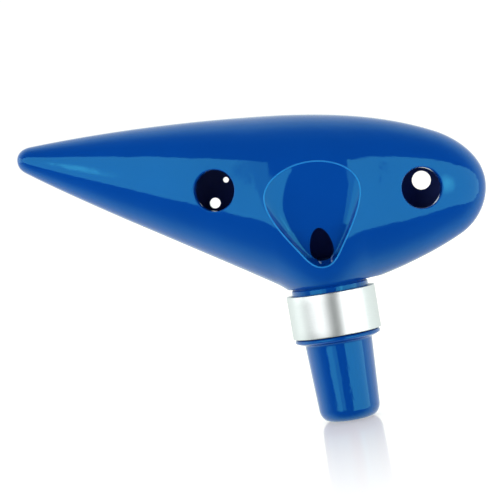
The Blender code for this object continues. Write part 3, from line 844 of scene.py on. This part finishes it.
def blue_gloss(name="blue_gloss_plastic_fine", scuffs=0.0):
    """High-gloss moulded plastic: slight flow in the colour, a slow waviness, a ripple and a faint grain.

    Scuffs is the depth of the short upright marks that handling leaves on the spout.
    """
    n = Nodes(name)
    n.feed("Base Color", n.colors(n.noise(28.0, 3.0), (0.0001, 0.0345, 0.236), (0.0002, 0.0385, 0.257)))
    n.feed("Roughness", n.between(n.noise(160.0, 4.0), 0.045, 0.085))
    waves = n.bump(n.noise(60.0, 1.0), 1.0, 0.15 * MM)
    waves = n.bump(n.noise(260.0, 2.0), 1.0, 0.04 * MM, waves)
    if scuffs:
        marks = n.between(n.noise(700.0, 3.0, 0.6, (1.0, 1.0, 0.22)), 0.0, 1.0, 0.62, 0.75)
        worn = n.between(n.noise(70.0, 1.0), 0.0, 1.0, 0.52, 0.62)
        both = n.add("ShaderNodeMath", operation="MULTIPLY")
        n.join(marks, both.inputs[0])
        n.join(worn, both.inputs[1])
        waves = n.bump(both.outputs["Value"], 1.0, scuffs, waves)
    n.feed("Normal", n.bump(n.noise(900.0, 2.0), 1.0, 0.001 * MM, waves))
    n.set(IOR=1.5, Specular_Tint=BLUE_SHEEN)
    return n.material


def bead_painted_highlight():
    """The fine bead round the dish: a little less glossy, and a paler blue that is a painted highlight for
    the light along its rim.
    """
    n = Nodes("bead_painted_highlight_fine")
    # painted highlight: a paler blue than the body, for the bright line along the dish's rim
    n.feed("Base Color", n.colors(n.noise(90.0), (0.006, 0.135, 0.43), (0.012, 0.155, 0.48)))
    n.feed("Roughness", n.between(n.noise(200.0, 3.0), 0.12, 0.2))
    n.feed("Normal", n.bump(n.noise(600.0), 1.0, 0.004 * MM))
    n.set(Specular_Tint=BLUE_SHEEN)
    return n.material


def blue_matte():
    """The same plastic as moulded, inside."""
    n = Nodes("blue_inner_plastic_fine")
    n.feed("Base Color", n.colors(n.noise(40.0), (0.002, 0.055, 0.28), (0.004, 0.07, 0.33)))
    n.feed("Roughness", n.between(n.noise(300.0, 3.0), 0.3, 0.42))
    n.feed("Normal", n.bump(n.noise(1500.0), 1.0, 0.01 * MM))
    return n.material


def chamber_wall_painted_shade():
    """The tone chamber's wall: the same plastic with the mould's dull texture, in a darker blue that is
    painted shade of the closed chamber.
    """
    n = Nodes("chamber_wall_painted_shade_fine")
    # painted shade: a darker base colour than the outside, for the shade inside the closed chamber
    n.feed("Base Color", n.colors(n.noise(60.0), (0.0008, 0.022, 0.22), (0.0012, 0.028, 0.27)))
    n.feed("Roughness", n.between(n.noise(300.0, 3.0), 0.5, 0.62))
    n.feed("Normal", n.bump(n.noise(1200.0), 1.0, 0.01 * MM))
    n.set(Specular_IOR_Level=0.3)
    return n.material


def satin_metal():
    """Turned and polished aluminium with fine circumferential lines."""
    n = Nodes("satin_aluminium_fine")
    lines = n.noise(240.0, 4.0, 0.6, (1.0, 1.0, 45.0))
    n.feed("Base Color", n.colors(lines, (0.48, 0.50, 0.505), (0.53, 0.55, 0.55)))
    n.feed("Roughness", n.between(lines, 0.33, 0.41))
    n.feed("Normal", n.bump(lines, 0.5, 0.004 * MM))
    n.set(Metallic=1.0)
    return n.material


def seal_rubber():
    """Black rubber with a fine grain."""
    n = Nodes("black_rubber_fine")
    n.feed("Base Color", n.colors(n.noise(500.0), (0.012, 0.012, 0.013), (0.024, 0.024, 0.026)))
    n.feed("Roughness", n.between(n.noise(800.0), 0.5, 0.65))
    n.feed("Normal", n.bump(n.noise(3000.0), 1.0, 0.006 * MM))
    return n.material


# ---------------------------------------------------------------- the object

def settle(item, node, body, materials, slot):
    """Moves a drawn piece to the real axis and lets it stand for its CAD node."""
    item.data.transform(Matrix.Translation((AXIS_X, 0.0, 0.0)))
    indices = np.zeros(len(item.data.polygons), np.int32)
    item.data.polygons.foreach_get("material_index", indices)
    item.data.materials.clear()
    for material in materials:
        item.data.materials.append(material)
    item.data.polygons.foreach_set("material_index", indices)
    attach(item, body)
    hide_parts(node)


def build_ocarina():
    """Draws every piece, and removes the solids that only served to cut them."""
    skin = make_object("uncut_skin", chamber_loft())
    cutters = shell_cutters()
    roof = windway_box("windway_roof", WINDWAY_WIDTH, GAP, WINDWAY_HEIGHT)
    roof_length = box(
        "windway_length",
        (-WINDWAY_WIDTH, -WINDWAY_REACH, BLOCK_BOTTOM - GAP),
        (WINDWAY_WIDTH, 0.0, BLOCK_TOP + 0.9 * MM),
    )
    boolean(roof, roof_length, "INTERSECT", "EXACT")
    thumb_holes = [hole_cutter(x, z, d, THUMB_SIDE, THUMB_ROUNDING) for x, z, d in THUMB_HOLES]
    finger_holes = [
        hole_cutter(x, z, d, FINGER_SIDE, FINGER_ROUNDING if d > SMALL_HOLE else FINGER_ROUNDING / 2)
        for x, z, d in FINGER_HOLES
    ]
    key_way = box(
        "key_way",
        (-KEY_WIDTH / 2 - GAP, TENON_RADIUS - 2 * MM, NECK_BOTTOM - 2 * MM),
        (KEY_WIDTH / 2 + GAP, KEY_RADIUS + GAP, KEY_TOP + GAP),
    )
    slot = air_slot()

    gloss, matte, metal, rubber = (blue_gloss(),), (blue_matte(),), (satin_metal(),), (seal_rubber(),)
    spout = (blue_gloss("blue_gloss_spout_fine", 0.03 * MM),)
    # the second material, inside the chamber, is darkened as painted shade
    # the third material, on the dish's bead, is a painted highlight
    shell_materials = (*gloss, chamber_wall_painted_shade(), bead_painted_highlight())
    thumb_cutters = (dish_cutter(), *thumb_holes, roof)
    thumb = make_shell("thumb_shell_fine", THUMB_SIDE, cutters, thumb_cutters, skin, (rim_bead(),))
    finger = make_shell("finger_shell_fine", FINGER_SIDE, cutters, (*finger_holes, key_way), skin)
    plan = [
        (thumb, "thumb_shell", "chamber_group", shell_materials, "blue_gloss_plastic"),
        (finger, "finger_shell", "chamber_group", shell_materials, "blue_gloss_plastic"),
        (make_block(), "windway_block", "chamber_group", matte, "blue_inner_plastic"),
        (make_ferrule(), "ferrule", "chamber_group", metal, "satin_aluminium"),
        (make_mouthpiece(slot), "mouthpiece", "mouthpiece_group", spout, "blue_gloss_plastic"),
        (make_windway_core(slot), "windway_core", "mouthpiece_group", matte, "blue_inner_plastic"),
    ]
    for name, height in SEAL_HEIGHTS.items():
        plan.append((make_seal(name, height), name, "mouthpiece_group", rubber, "black_rubber"))
    kept = {row[0] for row in plan}
    for item in list(bpy.data.objects):
        if item.type == "MESH" and item not in kept and "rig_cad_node" not in item:
            bpy.data.objects.remove(item, do_unlink=True)
    for row in plan:
        settle(*row)


# ---------------------------------------------------------------- studio

CAMERA_AZIMUTH = math.radians(4.5)
CAMERA_ELEVATION = math.radians(2.0)
CAMERA_ROLL = math.radians(9.5)
CAMERA_DISTANCE = 0.750
FRAME_WIDTH = 0.190  # what the picture spans at the aim point
SENSOR_MM = 36.0
AIM = Vector((AXIS_X - 27.6 * MM, 0.0, 69.35 * MM))

# The lights' places are seen from the aim point in the camera's frame, as multiples of their distance.
SOFTBOX_DISTANCE = 1.6
# Left, right, bottom and top edge, and brightness.
SOFTBOXES = {
    "left_softbox": (-3.0, -0.48, -0.54, 0.74, 2.7),
    "left_reflector": (-0.48, -0.21, -0.40, 0.74, 1.6),
    "right_softbox": (0.30, 1.0, -0.56, 0.78, 2.7),
}
# Place across and up, half width of the first layer and what each adds, height for width, and brightness.
LAMPS = {
    "left_lamp": (-0.70, 0.02, 0.025, 0.01, 4.0, 0.6),
    "right_lamp": (0.64, 0.09, 0.03, 0.03, 2.0, 0.8),
}
LAMP_LAYERS = 4
LAMP_DISTANCE = 1.57
LAMP_LAYER_STEP = 0.01
# Place across, front and back end, bottom and top edge, and brightness.
LEFT_PANEL = (-3.0, -1.0, 1.2, -0.54, 0.74, 1.6)
# First and last turn from behind the camera to its right, bottom and top edge, and brightness.
RIGHT_WALL = (math.radians(45), math.radians(84), -0.56, 0.78, 2.7)
RIGHT_WALL_STRIPS = 7
RIGHT_WALL_FALL = 0.2  # how much dimmer it gets towards its far end

WORLD_AXIS = (0.0, 1.0, -0.17)  # from the dim side, behind the camera, to the bright one
# (place, brightness) along that axis, from 0 to 1.
WORLD_GREYS = ((0.20, 0.25), (0.33, 0.5), (0.49, 1.45), (0.65, 1.8), (1.0, 1.3))
WORLD_TINT = (0.93, 1.0, 0.96)
BACKDROP_BRIGHTNESS = 1.05

FLOOR_RADIUS = 7.0
FLOOR_DROP = 0.05 * MM
FLOOR_GLOW = (1.0, 0.82, 0.73, 1.0)
FLOOR_GLOW_STRENGTH = 0.44
MIRROR_SHARE = 0.52  # of the floor's look under the object, falling to nothing at the mirror's reach
MIRROR_REACH = 0.42
MIRROR_ROUGHNESS = 0.06


def camera_axes():
    """Right, up and forward directions of the camera."""
    a, e, r = CAMERA_AZIMUTH, CAMERA_ELEVATION, CAMERA_ROLL
    level = Vector((math.cos(a), math.sin(a), 0.0))
    forward = Vector((-math.sin(a) * math.cos(e), math.cos(a) * math.cos(e), -math.sin(e)))
    upright = level.cross(forward)
    right = math.cos(r) * level - math.sin(r) * upright
    return right, math.sin(r) * level + math.cos(r) * upright, forward


def place(item, location, right, up, forward):
    """Puts a camera or a light at a place, facing forward."""
    item.matrix_world = Matrix.Translation(location) @ Matrix((
        (right.x, up.x, -forward.x, 0.0),
        (right.y, up.y, -forward.y, 0.0),
        (right.z, up.z, -forward.z, 0.0),
        (0.0, 0.0, 0.0, 1.0),
    ))


def add_camera():
    data = bpy.data.cameras.new("camera")
    data.sensor_width = SENSOR_MM
    data.lens = SENSOR_MM * CAMERA_DISTANCE / FRAME_WIDTH
    data.clip_start = 0.01
    camera = bpy.data.objects.new("camera", data)
    bpy.context.scene.collection.objects.link(camera)
    right, up, forward = camera_axes()
    place(camera, AIM - forward * CAMERA_DISTANCE, right, up, forward)
    bpy.context.scene.camera = camera


def area_light(name, width, height, brightness, shape="RECTANGLE"):
    """A soft light with the brightness of its face given, so that its size changes only its reach."""
    data = bpy.data.lights.new(name, "AREA")
    data.shape = shape
    data.size, data.size_y = width, height
    data.energy = brightness * math.pi * width * height
    light = bpy.data.objects.new(name, data)
    bpy.context.scene.collection.objects.link(light)
    return light


def add_softbox(name, left, right_end, bottom, top, brightness, distance=SOFTBOX_DISTANCE,
                shape="RECTANGLE"):
    """A flat light on the camera's side, facing as it does, with its edges in multiples of its distance."""
    right, up, forward = camera_axes()
    width, height = (right_end - left) * distance, (top - bottom) * distance
    light = area_light(name, width, height, brightness, shape)
    middle = right * (left + right_end) / 2 + up * (bottom + top) / 2 - forward
    place(light, AIM + middle * distance, right, up, forward)


def add_lamp(name, across, height, half_width, growth, stretch, brightness):
    """A bright spot with a soft edge: ellipses one in front of another, each larger than the last."""
    for k in range(LAMP_LAYERS):
        wide = half_width + growth * k
        high = stretch * wide
        add_softbox(name, across - wide, across + wide, height - high, height + high, brightness,
                    LAMP_DISTANCE - LAMP_LAYER_STEP * k, "ELLIPSE")


def add_left_panel(across, front, back, bottom, top, brightness):
    """A soft wall at the left, which faces right."""
    right, up, forward = camera_axes()
    size = SOFTBOX_DISTANCE
    light = area_light("left_panel", (back - front) * size, (top - bottom) * size, brightness)
    middle = right * across + up * (bottom + top) / 2 + forward * (front + back) / 2
    place(light, AIM + middle * size, -forward, up, right)


def add_right_wall(start, end, bottom, top, brightness):
    """A curved soft wall at the right: upright strips that get shorter and dimmer towards its far end."""
    right, up, forward = camera_axes()
    radius = SOFTBOX_DISTANCE / math.cos(start)
    step = (end - start) / RIGHT_WALL_STRIPS
    for k in range(RIGHT_WALL_STRIPS):
        turn = start + (k + 0.5) * step
        taper = math.sqrt(1.0 - ((k + 0.5) / RIGHT_WALL_STRIPS) ** 2)
        height = (top - bottom) * SOFTBOX_DISTANCE * taper
        dimmed = brightness * (1.0 - RIGHT_WALL_FALL * k / RIGHT_WALL_STRIPS)
        light = area_light(f"right_wall_{k + 1}", 2 * radius * math.tan(step / 2), height, dimmed)
        towards_wall = right * math.sin(turn) - forward * math.cos(turn)
        along = right * math.cos(turn) + forward * math.sin(turn)
        lift = up * (bottom + top) / 2 * SOFTBOX_DISTANCE * taper
        place(light, AIM + towards_wall * radius + lift, along, up, -towards_wall)


def add_lights():
    for name, values in SOFTBOXES.items():
        add_softbox(name, *values)
    for name, values in LAMPS.items():
        add_lamp(name, *values)
    add_left_panel(*LEFT_PANEL)
    add_right_wall(*RIGHT_WALL)


def add_world():
    """Pale surroundings that are dimmer on the camera's side, and an even white where they are seen."""
    world = bpy.data.worlds.new("studio")
    bpy.context.scene.world = world
    world.use_nodes = True
    tree = world.node_tree
    surround = tree.nodes["Background"]
    output = tree.nodes["World Output"]
    direction = tree.nodes.new("ShaderNodeTexCoord")
    along = tree.nodes.new("ShaderNodeVectorMath")
    along.operation = "DOT_PRODUCT"
    along.inputs[1].default_value = WORLD_AXIS
    ramp = tree.nodes.new("ShaderNodeValToRGB")
    spread = tree.nodes.new("ShaderNodeMapRange")
    spread.inputs["From Min"].default_value = -1.0
    tree.links.new(direction.outputs["Generated"], along.inputs[0])
    tree.links.new(along.outputs["Value"], spread.inputs["Value"])
    tree.links.new(spread.outputs["Result"], ramp.inputs["Fac"])
    for _ in WORLD_GREYS[2:]:
        ramp.color_ramp.elements.new(1.0)
    for element, (position, grey) in zip(ramp.color_ramp.elements, WORLD_GREYS):
        element.position = position
        element.color = (*(tint * grey for tint in WORLD_TINT), 1.0)
    tree.links.new(ramp.outputs["Color"], surround.inputs["Color"])
    backdrop = tree.nodes.new("ShaderNodeBackground")
    backdrop.inputs["Color"].default_value = (1.0, 1.0, 1.0, 1.0)
    backdrop.inputs["Strength"].default_value = BACKDROP_BRIGHTNESS
    path = tree.nodes.new("ShaderNodeLightPath")
    mix = tree.nodes.new("ShaderNodeMixShader")
    tree.links.new(path.outputs["Is Camera Ray"], mix.inputs["Fac"])
    tree.links.new(surround.outputs["Background"], mix.inputs[1])
    tree.links.new(backdrop.outputs["Background"], mix.inputs[2])
    tree.links.new(mix.outputs["Shader"], output.inputs["Surface"])


def add_floor():
    """A pale floor that mirrors what stands on its middle, and less and less further out."""
    builder = bmesh.new()
    bmesh.ops.create_circle(builder, cap_ends=True, segments=96, radius=FLOOR_RADIUS)
    floor = make_object("floor", builder)
    floor.location.z = -FLOOR_DROP
    n = Nodes("pale_floor")
    n.feed("Base Color", n.colors(n.noise(3.0), (0.82, 0.82, 0.82), (0.84, 0.84, 0.84)))
    n.set(Roughness=0.6, Specular_IOR_Level=0.0)
    n.set(Emission_Color=FLOOR_GLOW, Emission_Strength=FLOOR_GLOW_STRENGTH)
    reach = n.add("ShaderNodeVectorMath", operation="LENGTH")
    n.join(n.place, reach.inputs[0])
    mirror = n.add("ShaderNodeBsdfGlossy")
    mirror.inputs["Roughness"].default_value = MIRROR_ROUGHNESS
    mix = n.add("ShaderNodeMixShader")
    n.join(n.between(reach.outputs["Value"], MIRROR_SHARE, 0.0, 0.0, MIRROR_REACH), mix.inputs["Fac"])
    n.join(n.shader.outputs["BSDF"], mix.inputs[1])
    n.join(mirror.outputs["BSDF"], mix.inputs[2])
    n.join(mix.outputs["Shader"], n.tree.nodes["Material Output"].inputs["Surface"])
    floor.data.materials.append(n.material)
    floor.visible_glossy = False


build_ocarina()
add_camera()
add_lights()
add_world()
add_floor()
view_settings = bpy.context.scene.view_settings
view_settings.view_transform = "Standard"
view_settings.look = "None"
